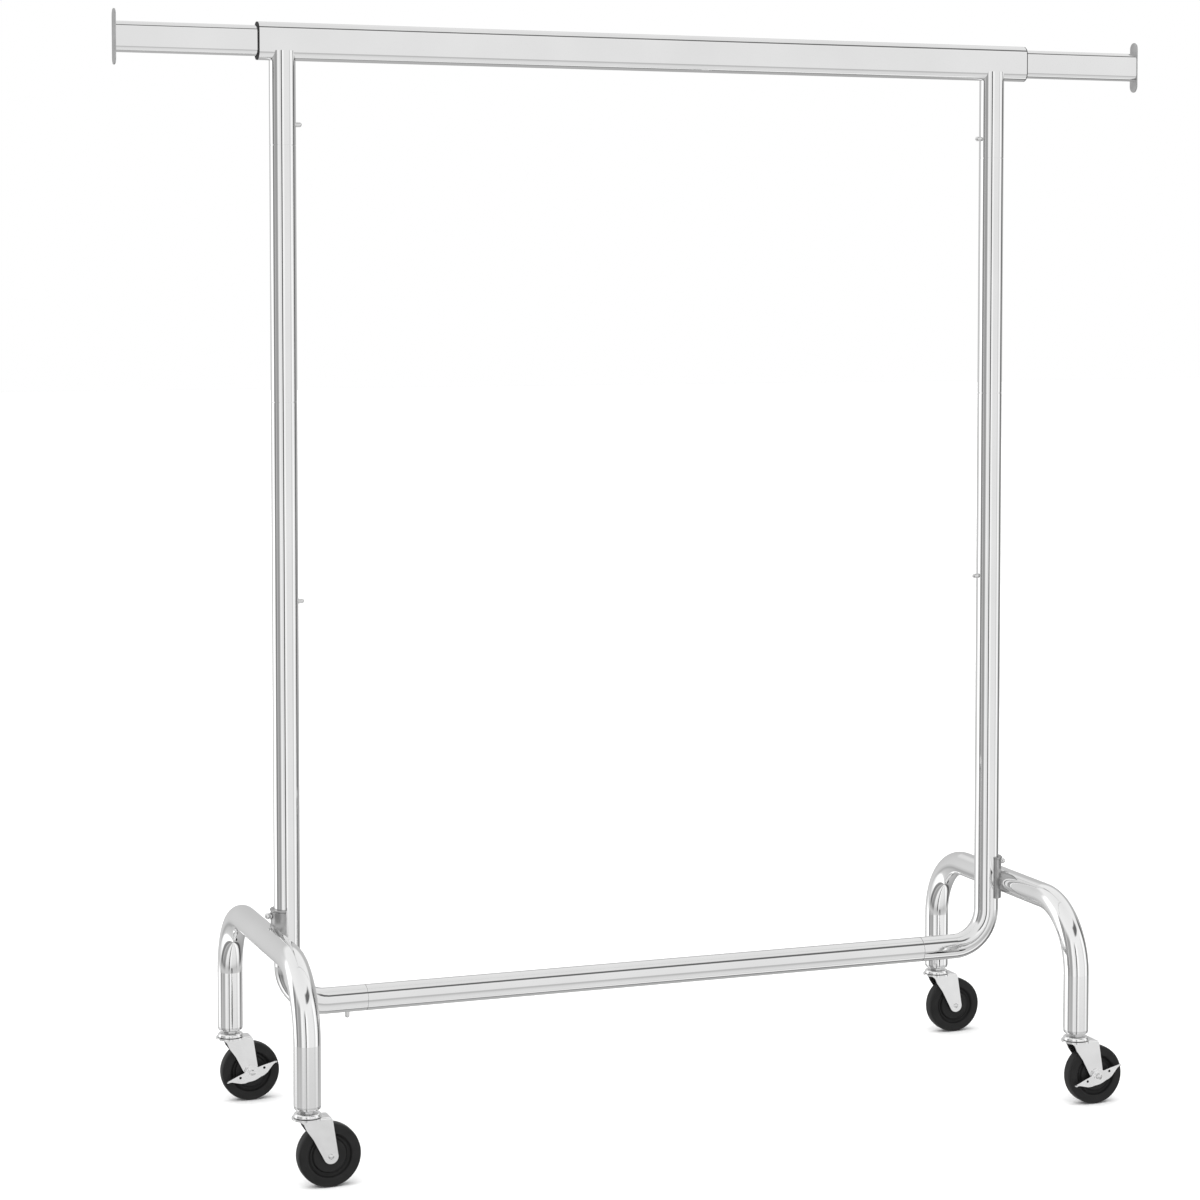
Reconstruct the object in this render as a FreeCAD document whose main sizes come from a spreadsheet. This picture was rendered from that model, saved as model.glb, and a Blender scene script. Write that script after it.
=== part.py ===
"""Rolling clothes rack with pull-out hang-rail bars, bolted end frames and swivel casters.

Frame: +Z up, X along the rail, origin on the floor below the middle of the rack with the
bars pulled out. The front of the rack faces -Y. All sizes are millimetres.
"""
import FreeCAD, Part
import math
import os
import re
import Sketcher
from FreeCAD import Placement, Rotation, Vector

DIMENSIONS = [
    ("tube_diameter", 35, "outside of every round tube"),
    ("tube_wall", 1.5, "wall of every tube"),
    ("fit_gap", 0.2, "radial gap between telescoped tubes"),
    ("seam_gap", 0.6, "gap between two tube ends on one line"),
    ("post_spacing", 1042.5, "between the post axes"),
    ("reach_left", 222, "left post axis to the left end of the pulled-out bar"),
    ("reach_right", 233.5, "right post axis to the right end of the pulled-out bar"),
    ("rail_height", 1457.5, "hang rail axis above the floor"),
    ("rail_tall", 50, "hang rail section, height"),
    ("rail_wide", 25, "hang rail section, width"),
    ("overhang_left", 33, "rail end beyond the left post axis"),
    ("overhang_right", 50, "rail end beyond the right post axis"),
    ("bar_tall", 40, "pull-out bar section, height"),
    ("bar_wide", 18, "pull-out bar section, width"),
    ("bar_wall", 1.2, "pull-out bar wall"),
    ("bar_length", 256, "pull-out bar without its end plate"),
    ("bushing_length", 45, "plastic guide in the rail's mouth"),
    ("bushing_flange", 1.2, "flange of the plastic guide on the rail's end"),
    ("glide_length", 25, "plastic glide on the bar's inner end"),
    ("plate_tall", 72, "end plate height"),
    ("plate_wide", 19, "end plate width"),
    ("plate_thick", 2, "end plate thickness"),
    ("top_seam", 1322, "stub to sleeve"),
    ("mid_seam", 985.5, "sleeve to corner tube"),
    ("top_button", 1349.5, "upper snap button"),
    ("low_button", 721.5, "lower snap button"),
    ("inner_low", 674.5, "lower end of the telescoped post tube"),
    ("inner_high", 1396.5, "upper end of the telescoped post tube"),
    ("base_height", 183.5, "base bar axis above the floor"),
    ("elbow_radius", 52, "corner tube bend, to the axis"),
    ("base_seam", 107, "post axis to the base bar's seam"),
    ("base_button", 82, "post axis to the base bar's snap button"),
    ("joiner_start", 64, "post axis to the near end of the base joiner"),
    ("joiner_end", 168, "post axis to the far end of the base joiner"),
    ("frame_offset", 28.5, "post axis to the end frame's plane"),
    ("leg_spacing", 426, "between the leg axes of an end frame"),
    ("arch_height", 275.5, "end frame's top axis above the floor"),
    ("arch_radius", 92, "end frame bend, to the axis"),
    ("leg_bottom", 106, "lower end of the legs"),
    ("plug_low", 100.5, "lower face of the plug in a leg's end"),
    ("saddle_low", 252.5, "saddle plate, lower edge"),
    ("saddle_high", 312.5, "saddle plate, upper edge"),
    ("saddle_thick", 4, "saddle plate thickness"),
    ("saddle_gap", 0.15, "saddle plate to corner tube"),
    ("saddle_wrap", 148, "degrees of the corner tube that the saddle covers"),
    ("stud_height", 303.5, "saddle stud above the floor"),
    ("stud_radius", 2.5, "saddle stud"),
    ("nut_radius", 4.1, "ball of the cap nut"),
    ("button_radius", 3.2, "snap button"),
    ("button_reach", 8.2, "snap button beyond the tube"),
    ("button_gap", 0.1, "snap button in its holes, radial"),
    ("wheel_diameter", 82, "caster wheel"),
    ("wheel_width", 20, "caster wheel tread width"),
    ("caster_trail", 27, "swivel axis to wheel axle"),
    ("axle_radius", 3, "wheel axle"),
    ("axle_gap", 0.06, "running gap of the wheel and lever on the axle, radial"),
    ("fork_inside", 23.2, "between the fork legs"),
    ("fork_thick", 2, "fork sheet"),
    ("fork_end_radius", 9.5, "rounded end of a fork leg"),
    ("fork_back", 29.5, "swivel axis to the back edge of the fork legs, at the top"),
    ("fork_knee", 76.5, "height where the fork's front edge turns down"),
    ("fork_bend", 2.3, "outside bend between the fork's top plate and its legs"),
    ("horn_radius", 20, "round top plate of the fork"),
    ("horn_top", 91.3, "upper face of the fork's top plate"),
    ("horn_thick", 2.5, "fork's top plate thickness"),
    ("cap_radius", 17.8, "raceway cap"),
    ("cap_top", 97.5, "raceway cap, upper face"),
    ("kingpin_radius", 4, "swivel pin"),
    ("ball_radius", 1.7, "swivel bearing ball"),
    ("ball_circle", 14, "swivel bearing ball circle radius"),
    ("lever_tilt", 19, "brake lever tilt at rest, degrees"),
    ("lever_face", 15.5, "brake lever's inner face from the wheel's middle plane"),
    ("lever_thick", 1.6, "brake lever sheet"),
    ("lever_dome", 1, "raised middle of the brake lever"),
    ("cam_radius", 10.8, "brake cam disc"),
]
ALIASES = {alias for alias, _, _ in DIMENSIONS}
SCRATCH_CELL = "E1"
BALLS_PER_CASTER = 8
# name, sign of X, sign of Y, has a brake
CASTERS = [
    ("front_left", "-1", "-1", False),
    ("rear_left", "-1", "1", True),
    ("front_right", "1", "-1", True),
    ("rear_right", "1", "1", False),
]
TURN_X = Rotation(Vector(0, 1, 0), 90)     # local Z points along +X
TURN_BACK_X = Rotation(Vector(0, 1, 0), -90)
TURN_DOWN = Rotation(Vector(1, 0, 0), 180)
TO_FRONT = Rotation(Vector(1, 0, 0), 90)   # local Z points along -Y
HALF_TURN = Rotation(Vector(0, 0, 1), 180)
# X of the fork's front edge: at the top plate, below it, at the knee and halfway down
FORK_FRONT = ["-13", "-8", "-4.3", "4.2"]
# one half of the brake lever, along it and across it: upper edge inward, lower edge outward
LEVER_UPPER = [(37.4, 2.3), (31, 2.8), (20, 3.8), (10.4, 4.2), (6.6, 6.8), (3.6, 8.9), (0, 9.6)]
LEVER_LOWER = [(0, -11.4), (5, -10.9), (9.5, -10), (14, -9.9), (20, -8), (26, -4.2), (31, -1), (37.8, 0.9)]
LEVER_TIP = [(35.4, 2.35), (37.4, 2.3), (37.8, 0.9), (35.6, 0.4)]
NO_TURN = Rotation()

document = FreeCAD.newDocument("ClothesRack")
parts = []


# ---- the sheet and its expressions -------------------------------------------------------

def fill_sheet():
    table = document.addObject("Spreadsheet::Sheet", "Dimensions")
    for row, (alias, size, meaning) in enumerate(DIMENSIONS, start=1):
        table.set(f"A{row}", alias)
        table.set(f"B{row}", str(size))
        table.set(f"C{row}", meaning)
        table.setAlias(f"B{row}", alias)
    document.recompute()
    return table


sheet = fill_sheet()


def bound(text):
    """An expression on the sheet's aliases, as other objects of the document write it."""
    return re.sub(r"[a-z_]\w*", lambda word: f"Dimensions.{word[0]}" if word[0] in ALIASES else word[0], text)


def value(text):
    """The number that an expression on the sheet's aliases gives."""
    sheet.set(SCRATCH_CELL, "=" + text)
    sheet.recompute()
    return float(sheet.get(SCRATCH_CELL))


def place(thing, at=("0", "0", "0"), turn=NO_TURN):
    thing.Placement = Placement(Vector(), turn)
    for axis, text in zip("xyz", at):
        if text != "0":
            thing.setExpression(f"Placement.Base.{axis}", bound(text))


def finished(thing, label):
    """Registers an object as one sub-part of the rack."""
    thing.Label = label
    parts.append(thing)
    return thing


# ---- sketches ----------------------------------------------------------------------------

def new_body(name, at=("0", "0", "0"), turn=NO_TURN):
    body = document.addObject("PartDesign::Body", name)
    place(body, at, turn)
    return body


def new_sketch(body, role, lift="0"):
    plane = next(item for item in body.Origin.OriginFeatures if item.Role == role)
    sketch = body.newObject("Sketcher::SketchObject", "Sketch")
    sketch.AttachmentSupport = (plane, [""])
    sketch.MapMode = "FlatFace"
    if lift != "0":
        sketch.setExpression("AttachmentOffset.Base.z", bound(lift))
    return sketch


def fix_point(sketch, geometry, end, point):
    """Holds one point of a sketch at two expressions."""
    for axis, text, line in (("X", point[0], -2), ("Y", point[1], -1)):
        size = value(text)
        if abs(size) < 1e-9:
            sketch.addConstraint(Sketcher.Constraint("PointOnObject", geometry, end, line))
            continue
        index = sketch.addConstraint(Sketcher.Constraint("Distance" + axis, -1, 1, geometry, end, size))
        sketch.setExpression(f"Constraints[{index}]", bound(text))


def add_circle(sketch, radius, centre=("0", "0")):
    middle = Vector(value(centre[0]), value(centre[1]), 0)
    circle = sketch.addGeometry(Part.Circle(middle, Vector(0, 0, 1), value(radius)))
    fix_point(sketch, circle, 3, centre)
    index = sketch.addConstraint(Sketcher.Constraint("Radius", circle, value(radius)))
    sketch.setExpression(f"Constraints[{index}]", bound(radius))


def add_outline(sketch, points):
    """A closed outline of straight lines between expression pairs."""
    spots = [Vector(value(across), value(up), 0) for across, up in points]
    lines = []
    for number, spot in enumerate(spots):
        following = spots[(number + 1) % len(spots)]
        lines.append(sketch.addGeometry(Part.LineSegment(spot, following)))
    for number, line in enumerate(lines):
        sketch.addConstraint(Sketcher.Constraint("Coincident", line, 2, lines[(number + 1) % len(lines)], 1))
        fix_point(sketch, line, 1, points[number])


def add_arc(sketch, centre, first, last, start_at, end_at):
    """An arc that joins two existing points; its centre is held across the sketch."""
    middle = Vector(value(centre[0]), value(centre[1]), 0)
    begin = Vector(*[value(text) for text in first], 0) - middle
    finish = Vector(*[value(text) for text in last], 0) - middle
    if begin.cross(finish).z < 0:
        begin, finish = finish, begin
        start_at, end_at = end_at, start_at
    right = Vector(1, 0, 0)
    angles = [right.getAngle(leg) * (1 if leg.y >= 0 else -1) for leg in (begin, finish)]
    arc = sketch.addGeometry(Part.ArcOfCircle(Part.Circle(middle, Vector(0, 0, 1), begin.Length), *angles))
    sketch.addConstraint(Sketcher.Constraint("Coincident", arc, 1, *start_at))
    sketch.addConstraint(Sketcher.Constraint("Coincident", arc, 2, *end_at))
    index = sketch.addConstraint(Sketcher.Constraint("DistanceX", -1, 1, arc, 3, middle.x))
    sketch.setExpression(f"Constraints[{index}]", bound(centre[0]))


def add_bent_path(sketch, runs):
    """Straight runs at right angles, joined by the tangent arcs between their ends."""
    lines = []
    for start, end in runs:
        spots = [Vector(value(point[0]), value(point[1]), 0) for point in (start, end)]
        line = sketch.addGeometry(Part.LineSegment(*spots))
        fix_point(sketch, line, 1, start)
        fix_point(sketch, line, 2, end)
        lines.append((line, spots))
    for number in range(len(runs) - 1):
        (line, spots), (following, _) = lines[number], lines[number + 1]
        first, last = runs[number][1], runs[number + 1][0]
        upright = abs(spots[0].x - spots[1].x) < 1e-6
        centre = (last[0], first[1]) if upright else (first[0], last[1])
        add_arc(sketch, centre, first, last, (line, 2), (following, 1))


def add_slot(sketch, tall, wide, centre="0"):
    """An upright flat-sided oval: two sides and two half-circle ends."""
    radius, rise, middle = value(f"{wide} / 2"), value(f"({tall} - {wide}) / 2"), value(centre)
    up, down = Vector(0, middle + rise, 0), Vector(0, middle - rise, 0)
    normal = Vector(0, 0, 1)
    top = sketch.addGeometry(Part.ArcOfCircle(Part.Circle(up, normal, radius), 0, math.pi))
    side_a = sketch.addGeometry(Part.LineSegment(up - Vector(radius, 0, 0), down - Vector(radius, 0, 0)))
    low = sketch.addGeometry(Part.ArcOfCircle(Part.Circle(down, normal, radius), math.pi, 2 * math.pi))
    side_b = sketch.addGeometry(Part.LineSegment(down + Vector(radius, 0, 0), up + Vector(radius, 0, 0)))
    for before, after in ((top, side_a), (side_a, low), (low, side_b), (side_b, top)):
        sketch.addConstraint(Sketcher.Constraint("Tangent", before, 2, after, 1))
    fix_point(sketch, top, 3, ("0", f"{centre} + ({tall} - {wide}) / 2"))
    fix_point(sketch, low, 3, ("0", f"{centre} - ({tall} - {wide}) / 2"))
    index = sketch.addConstraint(Sketcher.Constraint("Radius", top, radius))
    sketch.setExpression(f"Constraints[{index}]", bound(f"{wide} / 2"))


# ---- features ----------------------------------------------------------------------------

def pad(body, sketch, length, symmetric=False, backward=False):
    feature = body.newObject("PartDesign::Pad", "Pad")
    feature.Profile = sketch
    feature.SideType = "Symmetric" if symmetric else "One side"
    feature.Reversed = backward
    feature.setExpression("Length", bound(length))
    return feature


def pocket(body, sketch, length, symmetric=False, forward=False):
    """Cuts behind the sketch, ahead of it or both ways, and proves that something went."""
    document.recompute()
    before = body.Shape.Volume
    feature = body.newObject("PartDesign::Pocket", "Pocket")
    feature.Profile = sketch
    feature.SideType = "Symmetric" if symmetric else "One side"
    feature.Reversed = forward
    feature.setExpression("Length", bound(length))
    document.recompute()
    if body.Shape.Volume >= before - 1e-3:
        raise RuntimeError(f"a pocket of {body.Name} cuts nothing")
    return feature


def revolve(body, points, angle=360):
    """Turns an outline of (radius, height) pairs about the body's Z axis."""
    sketch = new_sketch(body, "XZ_Plane")
    add_outline(sketch, points)
    feature = body.newObject("PartDesign::Revolution", "Revolution")
    feature.Profile = sketch
    feature.ReferenceAxis = (sketch, ["V_Axis"])
    feature.Midplane = angle != 360
    if angle == 360:
        feature.Angle = 360
    else:
        feature.setExpression("Angle", bound(angle))
    return body


def rounding(across, height, radius, first, last, step=15):
    """Points of a revolved outline along an arc; angles go up from the outward direction."""
    ends = 1 if step > 0 else -1
    return [(f"{across} + {radius} * cos({angle}deg)", f"{height} + {radius} * sin({angle}deg)")
            for angle in range(first, last + ends, step)]


def sweep(body, path, profile):
    feature = body.newObject("PartDesign::AdditivePipe", "Pipe")
    feature.Profile = profile
    feature.Spine = (path, [f"Edge{number + 1}" for number in range(path.GeometryCount)])
    return feature


def straight_tube(name, at, length, diameter="tube_diameter", role="XY_Plane", turn=NO_TURN):
    """A round tube from its body's origin, along Z, or along X on the YZ plane."""
    body = new_body(name, at, turn)
    sketch = new_sketch(body, role)
    add_circle(sketch, f"({diameter}) / 2")
    add_circle(sketch, f"({diameter}) / 2 - tube_wall")
    pad(body, sketch, length)
    return body


def side_hole(body, role, centre, radius, length="tube_diameter", forward=True):
    sketch = new_sketch(body, role)
    add_circle(sketch, radius, centre)
    pocket(body, sketch, length, forward=forward)


def group(name, members):
    """Identical pieces that share one node as separate solids."""
    compound = document.addObject("Part::Compound", name)
    compound.Links = members
    return finished(compound, name)


# ---- places ------------------------------------------------------------------------------

LEFT_X = "((reach_left - reach_right - post_spacing) / 2)"
RIGHT_X = "((reach_left - reach_right + post_spacing) / 2)"
SIDES = [("left", LEFT_X, NO_TURN, "-1"), ("right", RIGHT_X, HALF_TURN, "1")]
INNER_TUBE = "(tube_diameter - 2 * tube_wall - 2 * fit_gap)"
BUTTON_HOLE = "button_radius + button_gap"
WHEEL_RADIUS = "(wheel_diameter / 2)"
NUT_SEAT = "(tube_diameter / 2 + saddle_gap + saddle_thick + 0.1)"


def caster_place(sign_x, sign_y):
    """The point on the floor below one caster's swivel axis."""
    middle = LEFT_X if sign_x == "-1" else RIGHT_X
    return (f"{middle} + {sign_x} * frame_offset", f"{sign_y} * leg_spacing / 2", "0")


# ---- hang rail ---------------------------------------------------------------------------

def hang_rail():
    body = new_body("hang_rail", (f"{LEFT_X} - overhang_left", "0", "rail_height"))
    sketch = new_sketch(body, "YZ_Plane")
    add_slot(sketch, "rail_tall", "rail_wide")
    add_slot(sketch, "(rail_tall - 2 * tube_wall)", "(rail_wide - 2 * tube_wall)")
    pad(body, sketch, "post_spacing + overhang_left + overhang_right")
    finished(body, "hang_rail")


def rail_stub(side, post_x, turn):
    """The short tube under the rail, coped to the rail's round lower edge."""
    top = "rail_height - rail_tall / 2 + rail_wide / 2"
    body = straight_tube(f"rail_stub_{side}", (post_x, "0", "top_seam + seam_gap / 2"),
                         f"{top} - top_seam - seam_gap / 2", turn=turn)
    cope = new_sketch(body, "YZ_Plane")
    add_slot(cope, "(rail_tall + 2 * saddle_gap)", "(rail_wide + 2 * saddle_gap)",
             "(rail_height - top_seam - seam_gap / 2)")
    pocket(body, cope, "2 * tube_diameter", symmetric=True)
    side_hole(body, "YZ_Plane", ("0", "top_button - top_seam - seam_gap / 2"), BUTTON_HOLE)
    finished(body, f"rail_stub_{side}")


def rail_bushing(side, turn):
    """The plastic guide that the bar slides through, with a flange on the rail's end."""
    mouth = f"{LEFT_X} - overhang_left" if side == "left" else f"{RIGHT_X} + overhang_right"
    body = new_body(f"rail_bushing_{side}", (mouth, "0", "rail_height"), turn)
    sleeve = new_sketch(body, "YZ_Plane", "-bushing_flange - 0.05")
    add_slot(sleeve, "(rail_tall - 2 * tube_wall - 0.1)", "(rail_wide - 2 * tube_wall - 0.1)")
    add_slot(sleeve, "(bar_tall + 0.6)", "(bar_wide + 0.6)")
    pad(body, sleeve, "bushing_length")
    flange = new_sketch(body, "YZ_Plane", "-0.05")
    add_slot(flange, "(rail_tall - 0.2)", "(rail_wide - 0.2)")
    add_slot(flange, "(bar_tall + 0.6)", "(bar_wide + 0.6)")
    pad(body, flange, "bushing_flange", backward=True)
    finished(body, f"rail_bushing_{side}")


def bar_end(side):
    """The inner face of the end plate, where the bar begins."""
    if side == "left":
        return f"{LEFT_X} - reach_left + plate_thick"
    return f"{RIGHT_X} + reach_right - plate_thick"


def extension_bar(side, turn):
    body = new_body(f"extension_bar_{side}", (bar_end(side), "0", "rail_height"), turn)
    sketch = new_sketch(body, "YZ_Plane")
    add_slot(sketch, "bar_tall", "bar_wide")
    add_slot(sketch, "(bar_tall - 2 * bar_wall)", "(bar_wide - 2 * bar_wall)")
    pad(body, sketch, "bar_length")
    finished(body, f"extension_bar_{side}")


def end_plate(side, turn):
    """The round-ended stop plate, welded on the bar's outer end."""
    body = new_body(f"end_plate_{side}", (bar_end(side), "0", "rail_height"), turn)
    sketch = new_sketch(body, "YZ_Plane")
    add_slot(sketch, "plate_tall", "plate_wide")
    plate = pad(body, sketch, "plate_thick", backward=True)
    document.recompute()
    rims = [f"Edge{number}" for number, edge in enumerate(plate.Shape.Edges, start=1)
            if edge.BoundBox.XLength < 1e-6]
    fillet = body.newObject("PartDesign::Fillet", "Rim")
    fillet.Base = (plate, rims)
    fillet.setExpression("Radius", bound("plate_thick / 4"))
    finished(body, f"end_plate_{side}")


def extension_glide(side, turn):
    """The plastic collar on the bar's inner end; it meets the bushing at full reach."""
    body = new_body(f"extension_glide_{side}", (bar_end(side), "0", "rail_height"), turn)
    sketch = new_sketch(body, "YZ_Plane", "bar_length - glide_length")
    add_slot(sketch, "(rail_tall - 2 * tube_wall - 0.6)", "(rail_wide - 2 * tube_wall - 0.6)")
    add_slot(sketch, "(bar_tall + 0.1)", "(bar_wide + 0.1)")
    pad(body, sketch, "glide_length")
    finished(body, f"extension_glide_{side}")


# ---- posts and base ----------------------------------------------------------------------

def post_sleeve(side, post_x, turn):
    body = straight_tube(f"post_sleeve_{side}", (post_x, "0", "mid_seam + seam_gap / 2"),
                         "top_seam - mid_seam - seam_gap", turn=turn)
    finished(body, f"post_sleeve_{side}")


def post_inner_tube(side, post_x, turn):
    """The long tube inside the post that holds its three outer tubes in line."""
    body = straight_tube(f"post_inner_tube_{side}", (post_x, "0", "inner_low"),
                         "inner_high - inner_low", INNER_TUBE, turn=turn)
    for height in ("top_button", "low_button"):
        side_hole(body, "YZ_Plane", ("0", f"{height} - inner_low"), BUTTON_HOLE)
    finished(body, f"post_inner_tube_{side}")


def corner_tube(side, post_x, turn):
    """The lower post, bent through a right angle towards the middle of the rack."""
    body = new_body(f"corner_tube_{side}", (post_x, "0", "base_height"), turn)
    top = "mid_seam - base_height - seam_gap / 2"
    path = new_sketch(body, "XZ_Plane")
    add_bent_path(path, [(("0", top), ("0", "elbow_radius")),
                         (("elbow_radius", "0"), ("base_seam - seam_gap / 2", "0"))])
    ring = new_sketch(body, "XY_Plane", top)
    add_circle(ring, "tube_diameter / 2")
    add_circle(ring, "tube_diameter / 2 - tube_wall")
    sweep(body, path, ring)
    side_hole(body, "YZ_Plane", ("0", "low_button - base_height"), BUTTON_HOLE)
    side_hole(body, "YZ_Plane", ("0", "stud_height - base_height"), "stud_radius + 0.2", forward=False)
    side_hole(body, "XY_Plane", ("base_button", "0"), BUTTON_HOLE, forward=False)
    finished(body, f"corner_tube_{side}")


def base_bar():
    body = straight_tube("base_bar", (f"{LEFT_X} + base_seam + seam_gap / 2", "0", "base_height"),
                         "post_spacing - 2 * base_seam - seam_gap", role="YZ_Plane")
    finished(body, "base_bar")


def base_joiner(side, post_x, turn):
    """The tube that telescopes into a corner tube and into the base bar."""
    body = new_body(f"base_joiner_{side}", (post_x, "0", "base_height"), turn)
    sketch = new_sketch(body, "YZ_Plane", "joiner_start")
    add_circle(sketch, f"{INNER_TUBE} / 2")
    add_circle(sketch, f"{INNER_TUBE} / 2 - tube_wall")
    pad(body, sketch, "joiner_end - joiner_start")
    side_hole(body, "XY_Plane", ("base_button", "0"), BUTTON_HOLE, forward=False)
    finished(body, f"base_joiner_{side}")


# ---- snap buttons ------------------------------------------------------------------------

def button_places():
    """Each snap button: its name, where its tube axis is, and how +Z turns to point outward."""
    for side, post_x, _, _ in SIDES:
        outward = TURN_X if side == "left" else TURN_BACK_X
        yield f"snap_button_{side}_top", (post_x, "0", "top_button"), outward
        yield f"snap_button_{side}_low", (post_x, "0", "low_button"), outward
        sign = "+" if side == "left" else "-"
        yield f"snap_button_{side}_base", (f"{post_x} {sign} base_button", "0", "base_height"), TURN_DOWN


def snap_button(name, at, outward):
    """A domed button with a flange, standing out through the tubes' holes."""
    body = new_body(name, at, outward)
    dome = rounding("0", "tube_diameter / 2 + button_reach - button_radius", "button_radius", 0, 90)
    revolve(body, [("0", "11.3"), ("4.2", "11.3"), ("4.2", "12.1"), ("button_radius", "12.1")] + dome)
    finished(body, name)


def spring_clip(name, at, outward):
    """A V-bent spring strip: one leaf under the button, the other towards the far wall."""
    body = new_body(name, at, outward)
    sketch = new_sketch(body, "XZ_Plane")
    add_outline(sketch, [("8", "11"), ("-8", "11"), ("-36", "0"), ("8", "-12.4"),
                         ("8", "-11.6"), ("-33.2", "0"), ("-7.7", "10.2"), ("8", "10.2")])
    pad(body, sketch, "12", symmetric=True)
    side_hole(body, "XY_Plane", ("0", "0"), "4.6", "20")
    return body


# ---- end frames --------------------------------------------------------------------------

def end_frame(side, post_x, turn, sign):
    """The arch on two legs, notched at its middle for the saddle plate."""
    body = new_body(f"end_frame_{side}", (f"{post_x} + {sign} * frame_offset", "0", "0"), turn)
    path = new_sketch(body, "YZ_Plane")
    leg, bend = "leg_spacing / 2", "arch_height - arch_radius"
    add_bent_path(path, [
        ((f"-{leg}", "leg_bottom"), (f"-{leg}", bend)),
        ((f"-{leg} + arch_radius", "arch_height"), (f"{leg} - arch_radius", "arch_height")),
        ((leg, bend), (leg, "leg_bottom")),
    ])
    ring = new_sketch(body, "XY_Plane", "leg_bottom")
    add_circle(ring, "tube_diameter / 2", ("0", f"-{leg}"))
    add_circle(ring, "tube_diameter / 2 - tube_wall", ("0", f"-{leg}"))
    sweep(body, path, ring)
    notch = new_sketch(body, "XY_Plane", "arch_height - tube_diameter")
    add_circle(notch, "tube_diameter / 2 + saddle_gap + saddle_thick + 0.05", ("frame_offset", "0"))
    pocket(body, notch, "2 * tube_diameter", forward=True)
    finished(body, f"end_frame_{side}")


def saddle(side, post_x, turn):
    """The half-pipe plate between arch and post, with a rolled upper lip."""
    outward = NO_TURN if turn is HALF_TURN else HALF_TURN
    body = new_body(f"saddle_{side}", (post_x, "0", "0"), outward)
    inner = "tube_diameter / 2 + saddle_gap"
    outer = f"{inner} + saddle_thick"
    revolve(body, [
        (inner, "saddle_low"), (outer, "saddle_low"), (outer, "saddle_high - 3.2"),
        (f"{outer} + 1.2", "saddle_high - 2"), (f"{outer} + 1.2", "saddle_high - 0.8"),
        (f"{outer} + 0.4", "saddle_high"), (inner, "saddle_high"),
    ], "saddle_wrap")
    side_hole(body, "YZ_Plane", ("0", "stud_height"), "stud_radius + 0.2")
    finished(body, f"saddle_{side}")


def saddle_stud(side, post_x):
    """The threaded stud, its flat head inside the corner tube."""
    body = new_body(f"stud_{side}", (post_x, "0", "stud_height"), TURN_BACK_X if side == "left" else TURN_X)
    return revolve(body, [("0", "13"), ("5", "13"), ("5", "14.6"), ("stud_radius", "14.6"),
                          ("stud_radius", f"{NUT_SEAT} + 4"), ("0", f"{NUT_SEAT} + 4")])


def cap_nut(side, post_x):
    """A closed nut with a ball end, seated on the saddle plate."""
    body = new_body(f"nut_{side}", (post_x, "0", "stud_height"), TURN_BACK_X if side == "left" else TURN_X)
    ball = rounding("0", f"{NUT_SEAT} + 4.6", "nut_radius", -45, 90)
    return revolve(body, [
        ("stud_radius + 0.05", NUT_SEAT), ("4.6", NUT_SEAT), ("4.6", f"{NUT_SEAT} + 1.4"),
    ] + ball + [("0", f"{NUT_SEAT} + 4.4"), ("stud_radius + 0.05", f"{NUT_SEAT} + 4.4")])


# ---- casters -----------------------------------------------------------------------------

def leg_socket(name, at):
    """The plug in a leg's lower end, its rounded foot below the leg, that takes the caster's stem."""
    body = new_body(f"socket_{name}", at)
    plug = "tube_diameter / 2 - tube_wall - 0.05"
    foot = rounding("tube_diameter / 2 - 4.2", "plug_low + 4", "4", -90, 0)
    return revolve(body, [("5.1", "plug_low")] + foot + [
        ("tube_diameter / 2 - 0.2", "leg_bottom - seam_gap"), (plug, "leg_bottom - seam_gap"),
        (plug, "leg_bottom + 30"), ("5.1", "leg_bottom + 30"),
    ])


def caster_stem(name, at):
    """Threaded stem, hexagon and swivel pin with its riveted lower end."""
    body = new_body(f"stem_{name}", at)
    under = "horn_top - horn_thick - 0.3"
    revolve(body, [
        ("0", f"{under} - 2.4"), ("6.4", f"{under} - 2.4"), ("7.5", f"{under} - 1.2"), ("7.5", under),
        ("kingpin_radius", under), ("kingpin_radius", "horn_top + 0.3"), ("5", "horn_top + 0.3"),
        ("5", "leg_bottom + 26"), ("3.8", "leg_bottom + 28"), ("0", "leg_bottom + 28"),
    ])
    sketch = new_sketch(body, "XY_Plane", "cap_top + 0.1")
    across = "9.4"
    add_outline(sketch, [(across, "0"), (f"{across} / 2", f"{across} * 0.866"),
                         (f"-{across} / 2", f"{across} * 0.866"), (f"-{across}", "0"),
                         (f"-{across} / 2", f"-{across} * 0.866"), (f"{across} / 2", f"-{across} * 0.866")])
    pad(body, sketch, "plug_low - 0.2 - cap_top")
    return body


def raceway_cap(name, at):
    """The domed cup over the bearing balls."""
    body = new_body(f"raceway_cap_{name}", at)
    skirt = "horn_top + 0.8"
    revolve(body, [("5.2", "cap_top"), ("10.5", "cap_top"), ("13.2", "cap_top - 0.25")]
            + rounding("cap_radius - 3.6", "cap_top - 4.1", "3.6", 75, 0, -15)
            + [("cap_radius", skirt), ("cap_radius - 1.2", skirt), ("cap_radius - 1.2", "cap_top - 3.8"),
               ("cap_radius - 2", "cap_top - 2.6"), ("cap_radius - 3.2", "cap_top - 2.1"),
               ("cap_radius - 6.2", "cap_top - 1.8"), ("5.2", "cap_top - 1.8")])
    finished(body, f"raceway_cap_{name}")


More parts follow.
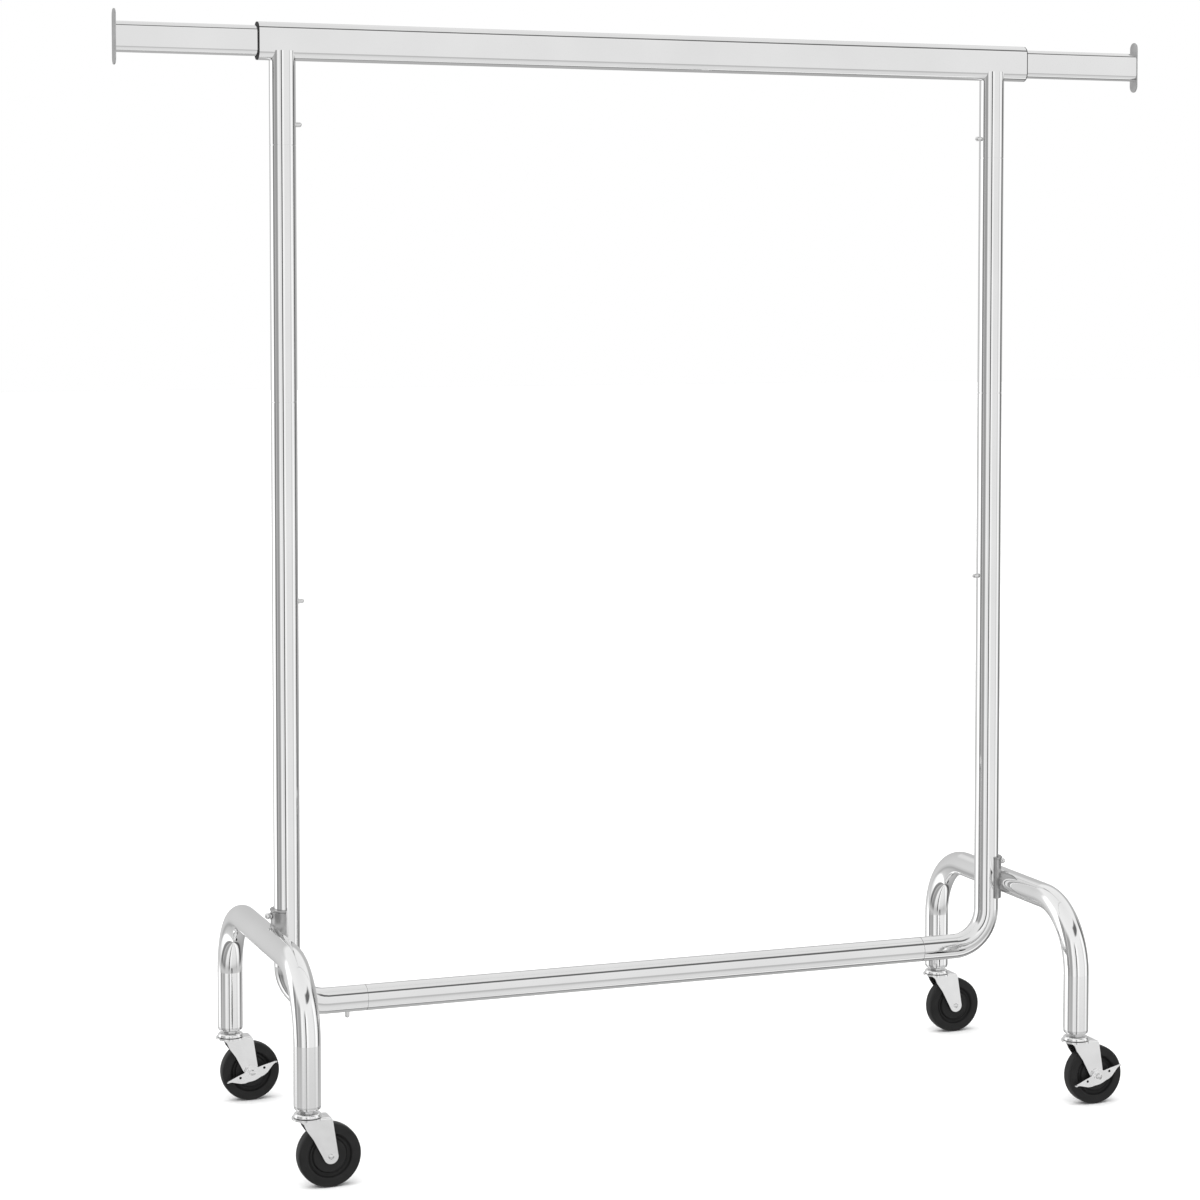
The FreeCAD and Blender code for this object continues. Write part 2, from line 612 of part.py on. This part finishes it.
def caster_balls(casters):
    balls = []
    for name, at in casters:
        for number in range(BALLS_PER_CASTER):
            ball = document.addObject("Part::Sphere", f"ball_{name}_{number}")
            ball.setExpression("Radius", bound("ball_radius"))
            angle = f"{number} * 360 / {BALLS_PER_CASTER}"
            place(ball, (f"{at[0]} + ball_circle * cos({angle} * 1deg)",
                         f"{at[1]} + ball_circle * sin({angle} * 1deg)", "horn_top + ball_radius + 0.4"))
            balls.append(ball)
    group("caster_balls", balls)


def caster_fork(name, at):
    """Pressed fork: a round top plate and two legs that taper to the axle."""
    body = new_body(f"caster_fork_{name}", at)
    plate = new_sketch(body, "XY_Plane", "horn_top")
    add_circle(plate, "horn_radius")
    pad(body, plate, "horn_thick", backward=True)
    legs = new_sketch(body, "XZ_Plane")
    add_fork_leg(legs)
    pad(body, legs, "fork_inside + 2 * fork_thick", symmetric=True)
    room = new_sketch(body, "YZ_Plane")
    top = "horn_top - horn_thick"
    add_outline(room, [("fork_inside / 2", "0"), ("fork_inside / 2", top),
                       ("-fork_inside / 2", top), ("-fork_inside / 2", "0")])
    pocket(body, room, "4 * horn_radius", symmetric=True)
    swivel = new_sketch(body, "XY_Plane", "horn_top + 1")
    add_circle(swivel, "kingpin_radius + 0.08")
    pocket(body, swivel, "2 * horn_thick")
    axle = new_sketch(body, "XZ_Plane")
    add_circle(axle, "axle_radius + 0.05", ("caster_trail", WHEEL_RADIUS))
    pocket(body, axle, "2 * fork_inside", symmetric=True)
    soften_fork(body)
    finished(body, f"caster_fork_{name}")


def add_fork_leg(sketch):
    """The side view of a leg: from the top plate down to a round end at the axle."""
    under = "horn_top - horn_thick"
    heights = [under, f"{under} - 4", "fork_knee", "fork_knee - 12"]
    shoulder = [("fork_back", "horn_top - 4"), ("fork_back - 1.2", "horn_top - 1.2"), ("fork_back - 4", "horn_top")]
    chain = [*shoulder, (FORK_FRONT[0], "horn_top"), *zip(FORK_FRONT, heights)]
    spots = [Vector(value(across), value(up), 0) for across, up in chain]
    lines = [sketch.addGeometry(Part.LineSegment(*pair)) for pair in zip(spots, spots[1:])]
    for before, after in zip(lines, lines[1:]):
        sketch.addConstraint(Sketcher.Constraint("Coincident", before, 2, after, 1))
    for line, point in zip(lines, chain):
        fix_point(sketch, line, 1, point)
    fix_point(sketch, lines[-1], 2, chain[-1])
    centre = Vector(value("caster_trail"), value(WHEEL_RADIUS), 0)
    radius = value("fork_end_radius")
    arc = sketch.addGeometry(Part.ArcOfCircle(Part.Circle(centre, Vector(0, 0, 1), radius), 3.6, 6.3))
    down = sketch.addGeometry(Part.LineSegment(spots[-1], centre + Vector(-radius * 0.9, -radius * 0.44, 0)))
    back = sketch.addGeometry(Part.LineSegment(centre + Vector(radius, 0, 0), spots[0]))
    fix_point(sketch, arc, 3, ("caster_trail", WHEEL_RADIUS))
    index = sketch.addConstraint(Sketcher.Constraint("Radius", arc, radius))
    sketch.setExpression(f"Constraints[{index}]", bound("fork_end_radius"))
    sketch.addConstraint(Sketcher.Constraint("Coincident", lines[-1], 2, down, 1))
    sketch.addConstraint(Sketcher.Constraint("Tangent", down, 2, arc, 1))
    sketch.addConstraint(Sketcher.Constraint("Tangent", arc, 2, back, 1))
    sketch.addConstraint(Sketcher.Constraint("Coincident", back, 2, lines[0], 1))


def soften_fork(body):
    """Rounds the two long bends where the legs leave the top plate."""
    document.recompute()
    base = body.Tip
    side, top = value("fork_inside / 2 + fork_thick"), value("horn_top")
    bends = []
    for number, edge in enumerate(base.Shape.Edges, start=1):
        box = edge.BoundBox
        flat = box.YLength < 1e-3 and box.ZLength < 1e-3
        outside = abs(box.ZMax - top) < 1e-3 and abs(abs(box.YMax) - side) < 1e-3
        if flat and outside and box.XLength > 4:
            bends.append(f"Edge{number}")
    fillet = body.newObject("PartDesign::Fillet", "Bends")
    fillet.Base = (base, bends)
    fillet.setExpression("Radius", bound("fork_bend"))


def at_axle(at):
    return (f"{at[0]} + caster_trail", at[1], WHEEL_RADIUS)


def wheel_axle(name, at, braked):
    """The riveted pin; on a braked caster it reaches out through the lever."""
    body = new_body(f"wheel_axle_{name}", at_axle(at), TO_FRONT)
    back = "fork_inside / 2 + fork_thick + 0.1"
    front = "lever_face + lever_thick + lever_dome + 0.3" if braked else back
    head = "4.4" if braked else "3.6"
    revolve(body, [
        ("0", f"-({back}) - 1.5"), ("2.6", f"-({back}) - 1.3"), ("3.6", f"-({back}) - 0.5"),
        ("3.6", f"-({back})"),
        ("axle_radius", f"-({back})"), ("axle_radius", front), (head, front), (head, f"{front} + 0.5"),
        (f"{head} * 0.72", f"{front} + 1.3"), ("0", f"{front} + 1.6"),
    ])
    finished(body, f"wheel_axle_{name}")


def wheel_bushing(name, at):
    body = new_body(f"wheel_bushing_{name}", at_axle(at), TO_FRONT)
    half = "fork_inside / 2 - 0.3"
    revolve(body, [("axle_radius + axle_gap", f"-({half})"), ("4.95", f"-({half})"),
                   ("4.95", half), ("axle_radius + axle_gap", half)])
    finished(body, f"wheel_bushing_{name}")


def wheel(name, at):
    """A moulded wheel: crowned tread with two mould lines, dished sides and a hub."""
    body = new_body(f"wheel_{name}", at_axle(at), TO_FRONT)
    side = "-wheel_width / 2"
    half = [("5", "-11"), ("9", "-11"), ("10", "-8.4"), ("20", "-8.4"), ("21.4", "-7.8"), ("23", "-5.4"),
            ("25", "-5.2"), ("26.8", "-6.4"), ("28.4", "-9.2"), ("30", side), (f"{WHEEL_RADIUS} - 3.4", side),
            (f"{WHEEL_RADIUS} - 2", f"{side} + 0.35"), (f"{WHEEL_RADIUS} - 1.1", f"{side} + 1.1"),
            (f"{WHEEL_RADIUS} - 0.5", f"{side} + 2.2"), (f"{WHEEL_RADIUS} - 0.4", f"{side} + 3.2"),
            (f"{WHEEL_RADIUS} - 1", f"{side} + 3.5"), (f"{WHEEL_RADIUS} - 0.3", f"{side} + 3.8"),
            (WHEEL_RADIUS, "-wheel_width / 5")]
    revolve(body, half + [(radius, f"-({depth})") for radius, depth in reversed(half)])
    finished(body, f"wheel_{name}")


def brake_cam(name, at):
    """The cam disc between the fork leg and the lever."""
    body = new_body(f"brake_cam_{name}", at_axle(at), TO_FRONT)
    inner = "fork_inside / 2 + fork_thick + 0.3"
    outer = "lever_face - 0.05"
    revolve(body, [("axle_radius + axle_gap", inner), ("cam_radius", inner), ("cam_radius", outer),
                   ("axle_radius + axle_gap", outer)])
    finished(body, f"brake_cam_{name}")


def lever_outline():
    """The whole outline of the brake lever, from its two listed half edges."""
    left = [(-along, across) for along, across in reversed(LEVER_LOWER[1:] + LEVER_UPPER[:-1])]
    return LEVER_UPPER + left + LEVER_LOWER


def brake_lever(name, at):
    """The two-winged side lever that turns on the axle, its tips bent outward."""
    tilt = Rotation(Vector(0, 1, 0), -value("lever_tilt"))
    body = new_body(f"brake_lever_{name}", at_axle(at), tilt)
    flat = new_sketch(body, "XZ_Plane", "lever_face")
    add_outline(flat, [(str(along), str(across)) for along, across in lever_outline()])
    pad(body, flat, "lever_thick")
    dome = new_sketch(body, "XZ_Plane", "lever_face")
    add_circle(dome, "6.6")
    pad(body, dome, "lever_thick + lever_dome")
    for sign in (1, -1):
        tip = new_sketch(body, "XZ_Plane", "lever_face")
        add_outline(tip, [(str(sign * along), str(across)) for along, across in LEVER_TIP])
        pad(body, tip, "lever_thick + 2.2")
    holes = new_sketch(body, "XZ_Plane")
    for along, radius in (("0", "axle_radius + axle_gap"), ("18", "1.8"), ("-18", "1.8")):
        add_circle(holes, radius, (along, "0"))
    pocket(body, holes, "2 * lever_face", forward=True)
    finished(body, f"brake_lever_{name}")


# ---- the whole rack ----------------------------------------------------------------------

def build_upper():
    hang_rail()
    for side, post_x, turn, _ in SIDES:
        rail_stub(side, post_x, turn)
        rail_bushing(side, turn)
        extension_bar(side, turn)
        end_plate(side, turn)
        extension_glide(side, turn)


def build_posts_and_base():
    base_bar()
    for side, post_x, turn, sign in SIDES:
        post_sleeve(side, post_x, turn)
        post_inner_tube(side, post_x, turn)
        corner_tube(side, post_x, turn)
        base_joiner(side, post_x, turn)
        end_frame(side, post_x, turn, sign)
        saddle(side, post_x, turn)
    group("saddle_studs", [saddle_stud(side, post_x) for side, post_x, _, _ in SIDES])
    group("saddle_cap_nuts", [cap_nut(side, post_x) for side, post_x, _, _ in SIDES])
    clips = []
    for name, at, outward in button_places():
        snap_button(name, at, outward)
        clips.append(spring_clip(name.replace("snap_button", "clip"), at, outward))
    group("spring_clips", clips)


def build_casters():
    places = [(name, caster_place(sign_x, sign_y)) for name, sign_x, sign_y, _ in CASTERS]
    group("leg_sockets", [leg_socket(name, at) for name, at in places])
    group("caster_stems", [caster_stem(name, at) for name, at in places])
    caster_balls(places)
    for (name, at), (_, _, _, braked) in zip(places, CASTERS):
        raceway_cap(name, at)
        caster_fork(name, at)
        wheel_axle(name, at, braked)
        wheel_bushing(name, at)
        wheel(name, at)
        if braked:
            brake_cam(name, at)
            brake_lever(name, at)


def check_document():
    for thing in document.Objects:
        if "Invalid" in thing.State or "Error" in thing.State:
            raise RuntimeError(f"{thing.Name} of {thing.InList} failed: {thing.State}")
    for part in parts:
        if part.Shape.isNull() or not part.Shape.isValid() or not part.Shape.Solids:
            raise RuntimeError(f"{part.Label} has no valid shape")


def export_parts():
    os.makedirs("parts", exist_ok=True)
    for part in parts:
        part.Shape.exportStep(f"parts/{part.Label}.step")
        print(f"{part.Label}: {len(part.Shape.Solids)} solid(s), {part.Shape.Volume / 1000:.2f} cm3")
    print(len(parts), "nodes")


build_upper()
build_posts_and_base()
build_casters()
document.recompute()
check_document()
export_parts()
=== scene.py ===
"""Looks of the rolling clothes rack, built around its CAD frame. Metres; +X along the hang rail, +Z up."""

from math import pi, radians

import bpy
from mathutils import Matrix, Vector

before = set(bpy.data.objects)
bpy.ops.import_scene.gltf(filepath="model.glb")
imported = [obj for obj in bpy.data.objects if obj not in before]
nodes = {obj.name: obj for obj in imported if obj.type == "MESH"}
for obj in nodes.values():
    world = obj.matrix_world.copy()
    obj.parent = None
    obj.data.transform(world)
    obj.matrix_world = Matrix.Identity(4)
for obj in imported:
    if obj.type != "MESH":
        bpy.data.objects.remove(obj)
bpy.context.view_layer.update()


# ---------------------------------------------------------------- camera

EYE = Vector((-1.466, -3.736, 1.1255))
EYE_YAW = radians(20.31)      # turned from +Y towards +X
EYE_PITCH = radians(3.0)      # looking down
EYE_LENS = 87.27              # mm
SENSOR_WIDTH = 36.0           # mm
EYE_SHIFT = -0.1267           # in widths of the picture; a negative one moves its frame down
FAR_AWAY = 100.0              # nothing beyond this is drawn


def make_camera():
    data = bpy.data.cameras.new("camera")
    data.lens = EYE_LENS
    data.sensor_width = SENSOR_WIDTH
    data.shift_y = EYE_SHIFT
    data.clip_end = FAR_AWAY
    camera = bpy.data.objects.new("camera", data)
    bpy.context.scene.collection.objects.link(camera)
    camera.location = EYE
    camera.rotation_euler = (pi / 2 - EYE_PITCH, 0.0, -EYE_YAW)
    bpy.context.scene.camera = camera


# ---------------------------------------------------------------- node helpers

class Graph:
    """A small helper for writing a node tree: each call adds a node and returns its main output."""

    def __init__(self, tree):
        self.tree = tree
        tree.nodes.clear()

    def add(self, kind, inputs=None, out=0, **settings):
        node = self.tree.nodes.new(kind)
        for name, value in settings.items():
            setattr(node, name, value)
        for name, value in (inputs or {}).items():
            self.put(node.inputs[name], value)
        return node.outputs[out]

    def put(self, socket, value):
        if isinstance(value, bpy.types.NodeSocket):
            self.tree.links.new(value, socket)
        else:
            socket.default_value = value

    def math(self, operation, a, b=0.0):
        return self.add("ShaderNodeMath", {0: a, 1: b}, operation=operation)

    def ramp(self, value, stops):
        out = self.add("ShaderNodeValToRGB", {"Fac": value})
        ramp = out.node.color_ramp
        while len(ramp.elements) < len(stops):
            ramp.elements.new(0.5)
        for element, (place, level) in zip(ramp.elements, stops):
            element.position = place
            element.color = (level, level, level, 1.0)
        return out

    def mix(self, factor, a, b):
        node = self.tree.nodes.new("ShaderNodeMix")
        node.data_type = "FLOAT"
        for name, value in (("Factor", factor), ("A", a), ("B", b)):
            self.put([s for s in node.inputs if s.name == name and s.type == "VALUE"][0], value)
        return node.outputs[0]

    def fade(self, value, start, end):
        """Rises from 0 to 1 between two values."""
        return self.add("ShaderNodeMapRange", {"Value": value, "From Min": start, "From Max": end})

    def step(self, angle, start, end):
        """Rises from 0 to 1 between two angles in degrees."""
        return self.fade(angle, radians(start), radians(end))

    def finish(self, kind, shader):
        self.put(self.tree.nodes.new(kind).inputs["Surface"], shader)


# ---------------------------------------------------------------- studio

WHITE = (1, 1, 1, 1)
# brightness round the rack, by degrees from the front (-Y) towards +X
ROUND = (
    (-180, 0.62), (-152, 0.70), (-142, 0.78), (-136, 1.45), (-113, 1.45), (-108, 0.30), (-94, 0.26),
    (-88, 0.66), (-82, 0.40), (-62, 0.38), (-57, 0.95), (-46, 1.05), (-38, 0.92), (-27, 0.90),
    (-25, 0.10), (-18, 0.10), (-15, 1.15), (-5, 1.10), (2, 0.92), (46, 0.92), (52, 0.74), (58, 0.78),
    (62, 1.20), (72, 1.10), (84, 0.95), (90, 0.10), (101, 0.10), (107, 0.42), (124, 0.50), (180, 0.62),
)
# brightness from straight down to straight up, below and above the band round the middle
HIGH = (
    (-90, 1.00), (-50, 0.95), (-33, 0.85), (-24, 0.62), (-14, 0.62), (0, 0.92), (30, 0.95), (90, 0.85),
)
# degrees of height between which the band round the middle starts and ends: outside it first, then inside
BAND_FOOT, BAND_HEAD = (-17.0, -12.4), (34.0, 24.0)
# degrees of height between which the brightness round the rack comes back, below the band
STRIPES_BELOW = (-17.0, -24.0)
# the long dark card high up at the front: where its middle and its edges are, how dark and how soft it is,
# and the cosines between which it fades out sideways
CARD_TURN, CARD_LOW, CARD_TOP = radians(32.0), radians(43.5), radians(54.5)
CARD_LEVEL, CARD_SOFT = 0.15, radians(2.5)
CARD_ENDS = (0.8, 0.95)


def make_world():
    world = bpy.data.worlds.new("studio")
    world.use_nodes = True
    bpy.context.scene.world = world
    g = Graph(world.node_tree)
    where = g.add("ShaderNodeTexCoord", out="Generated")
    xyz = g.add("ShaderNodeSeparateXYZ", {0: where}).node.outputs
    turn = g.math("ARCTAN2", xyz[0], g.math("MULTIPLY", xyz[1], -1.0))    # 0 at the front, grows towards +X
    rise = g.math("ARCSINE", xyz[2])
    around = g.ramp(g.math("ADD", g.math("DIVIDE", turn, 2 * pi), 0.5),
                    [((d + 180) / 360, v) for d, v in ROUND])
    above = g.ramp(g.math("ADD", g.math("DIVIDE", rise, pi), 0.5),
                   [((d + 90) / 180, v) for d, v in HIGH])
    band = g.math("MULTIPLY", g.step(rise, *BAND_FOOT), g.step(rise, *BAND_HEAD))
    striped = g.mix(g.step(rise, *STRIPES_BELOW), 1.0, around)
    level = g.mix(band, g.math("MULTIPLY", above, striped), around)
    facing = g.math("COSINE", g.math("SUBTRACT", turn, CARD_TURN))
    card = g.fade(facing, *CARD_ENDS)
    for edge, beyond in ((CARD_LOW, -CARD_SOFT), (CARD_TOP, CARD_SOFT)):
        card = g.math("MULTIPLY", card, g.fade(rise, edge + beyond, edge))
    level = g.mix(card, level, CARD_LEVEL)
    lit = g.add("ShaderNodeBackground", {"Color": WHITE, "Strength": level})
    seen = g.add("ShaderNodeBackground", {"Color": WHITE, "Strength": 1.0})
    by_eye = g.add("ShaderNodeLightPath", out="Is Camera Ray")
    both = g.add("ShaderNodeMixShader", {0: by_eye, 1: lit, 2: seen})
    g.finish("ShaderNodeOutputWorld", both)


SUN_STRENGTH, SUN_SPREAD = 2.4, radians(80.0)
SUN_TILT = (radians(20.0), radians(-15.0), 0.0)


def make_sun():
    """One wide soft light from above, which lights the floor evenly out to the horizon."""
    data = bpy.data.lights.new("overhead", "SUN")
    data.energy = SUN_STRENGTH
    data.angle = SUN_SPREAD
    light = bpy.data.objects.new("overhead", data)
    bpy.context.scene.collection.objects.link(light)
    light.rotation_euler = SUN_TILT
    light.visible_glossy = False


FLOOR_REACH = 30.0


def make_floor():
    mesh = bpy.data.meshes.new("floor")
    corners = [(x * FLOOR_REACH, y * FLOOR_REACH, 0) for x, y in ((-1, -1), (1, -1), (1, 1), (-1, 1))]
    mesh.from_pydata(corners, [], [(0, 1, 2, 3)])
    floor = bpy.data.objects.new("floor", mesh)
    bpy.context.scene.collection.objects.link(floor)
    material = bpy.data.materials.new("floor_paper")
    material.use_nodes = True
    g = Graph(material.node_tree)
    grain = g.add("ShaderNodeTexNoise", {"Scale": 300.0, "Detail": 4.0})
    tone = g.ramp(grain, [(0.3, 0.93), (0.7, 0.95)])
    paint = g.add("ShaderNodeBsdfPrincipled", {"Base Color": tone, "Roughness": 0.9})
    g.finish("ShaderNodeOutputMaterial", paint)
    mesh.materials.append(material)
    floor.visible_glossy = False


def make_studio():
    bpy.context.scene.view_settings.view_transform = "Standard"
    make_world()
    make_floor()
    make_sun()


# ---------------------------------------------------------------- materials

# the scale of noise on each axis: a small one draws it out into lines that way
ALONG_X, ALONG_Y, ALONG_Z, ALL_ROUND = (0.02, 1, 1), (1, 0.02, 1), (1, 1, 0.02), (1, 1, 1)


def make_material(name, build):
    material = bpy.data.materials.new(name)
    material.use_nodes = True
    g = Graph(material.node_tree)
    g.finish("ShaderNodeOutputMaterial", build(g))
    return material


def stretched_noise(g, stretch, scale, detail):
    where = g.add("ShaderNodeTexCoord", out="Object")
    along = g.add("ShaderNodeMapping", {"Vector": where, "Scale": stretch})
    return g.add("ShaderNodeTexNoise", {"Vector": along, "Scale": scale, "Detail": detail})


def chrome(stretch, rough=0.045, shade=0.82):
    """Polished chrome plate; stretch is small along the way that the tube was polished."""

    def build(g):
        lines = stretched_noise(g, stretch, 900.0, 4.0)
        haze = stretched_noise(g, ALL_ROUND, 9.0, 3.0)
        peel = stretched_noise(g, ALL_ROUND, 140.0, 2.0)
        blur = g.mix(haze, rough * 0.7, rough * 1.3)
        tone = g.ramp(haze, [(0.3, shade - 0.02), (0.7, shade + 0.02)])
        swell = g.add("ShaderNodeBump", {"Height": peel, "Strength": 0.02, "Distance": 0.0005})
        fine = g.add("ShaderNodeBump",
                     {"Height": lines, "Strength": 0.02, "Distance": 0.0002, "Normal": swell})
        return g.add("ShaderNodeBsdfPrincipled",
                     {"Base Color": tone, "Metallic": 1.0, "Roughness": blur, "Normal": fine})

    return build


def plated_sheet(pit_scale, cloud_scale, blur, tones, depth):
    """Sheet steel with a thin coat: small pits, and patches that differ a little in gloss and tone."""

    def build(g):
        pits = stretched_noise(g, ALL_ROUND, pit_scale, 5.0)
        cloud = stretched_noise(g, ALL_ROUND, cloud_scale, 3.0)
        rough = g.mix(cloud, *blur)
        tone = g.ramp(cloud, [(0.3, tones[0]), (0.7, tones[1])])
        bumps = g.add("ShaderNodeBump", {"Height": pits, "Strength": depth, "Distance": 0.0003})
        return g.add("ShaderNodeBsdfPrincipled",
                     {"Base Color": tone, "Metallic": 1.0, "Roughness": rough, "Normal": bumps})

    return build


def wheel_rubber(g):
    grain = stretched_noise(g, ALL_ROUND, 1500.0, 4.0)
    cloud = stretched_noise(g, ALL_ROUND, 70.0, 3.0)
    rough = g.mix(cloud, 0.42, 0.55)
    tone = g.ramp(cloud, [(0.3, 0.006), (0.7, 0.010)])
    bumps = g.add("ShaderNodeBump", {"Height": grain, "Strength": 0.15, "Distance": 0.0002})
    return g.add("ShaderNodeBsdfPrincipled", {"Base Color": tone, "Roughness": rough,
                                              "Specular IOR Level": 0.28, "Normal": bumps})


def black_nylon(g):
    grain = stretched_noise(g, ALL_ROUND, 2500.0, 3.0)
    tone = g.ramp(grain, [(0.3, 0.004), (0.7, 0.008)])
    bumps = g.add("ShaderNodeBump", {"Height": grain, "Strength": 0.1, "Distance": 0.0002})
    return g.add("ShaderNodeBsdfPrincipled", {"Base Color": tone, "Roughness": 0.5,
                                              "Specular IOR Level": 0.2, "Normal": bumps})


# which nodes get which material, by how their names start; the other tubes stand upright
LEVEL_NODES = ("hang_rail", "base_bar", "base_joiner", "extension_bar")
ARCH_NODES = ("end_frame",)
SATIN_NODES = ("saddle_left", "saddle_right", "end_plate")
TURNED_NODES = ("wheel_axle", "saddle_cap_nuts", "snap_button", "leg_sockets", "caster_stems")
ZINC_NODES = ("saddle_studs", "spring_clips", "caster_", "raceway_cap", "wheel_bushing", "brake_")
RUBBER_NODES = ("wheel_",)
NYLON_NODES = ("rail_bushing", "extension_glide")


def finish_nodes():
    upright = make_material("chrome_upright", chrome(ALONG_Z))
    # the first row that fits a name counts, so "wheel_axle" and "wheel_bushing" come before "wheel_"
    rows = (
        (TURNED_NODES, make_material("turned_steel", chrome(ALL_ROUND, 0.08, 0.76))),
        (ZINC_NODES, make_material(
            "bright_zinc_plate", plated_sheet(700.0, 60.0, (0.13, 0.22), (0.89, 0.95), 0.06))),
        (RUBBER_NODES, make_material("wheel_rubber", wheel_rubber)),
        (NYLON_NODES, make_material("black_nylon", black_nylon)),
        (LEVEL_NODES, make_material("chrome_level", chrome(ALONG_X))),
        # the arches are the same chrome as the other tubes, but their base tone is raised to 0.90 (against
        # 0.82) as painted light, to make the reflections they show lighter
        (ARCH_NODES, make_material("chrome_arch_painted_lighter", chrome(ALONG_Y, 0.065, 0.90))),
        # saddles and end plates: a rougher satin plate, and their dark base tone of 0.40 to 0.52 is painted
        # shade, standing in for the dark surroundings they reflect
        (SATIN_NODES, make_material(
            "satin_plate_painted_shade", plated_sheet(420.0, 45.0, (0.26, 0.38), (0.40, 0.52), 0.15))),
    )
    for name, node in nodes.items():
        material = next((m for starts, m in rows if name.startswith(starts)), upright)
        for slot in node.material_slots:
            slot.material = material


make_camera()
make_studio()
finish_nodes()
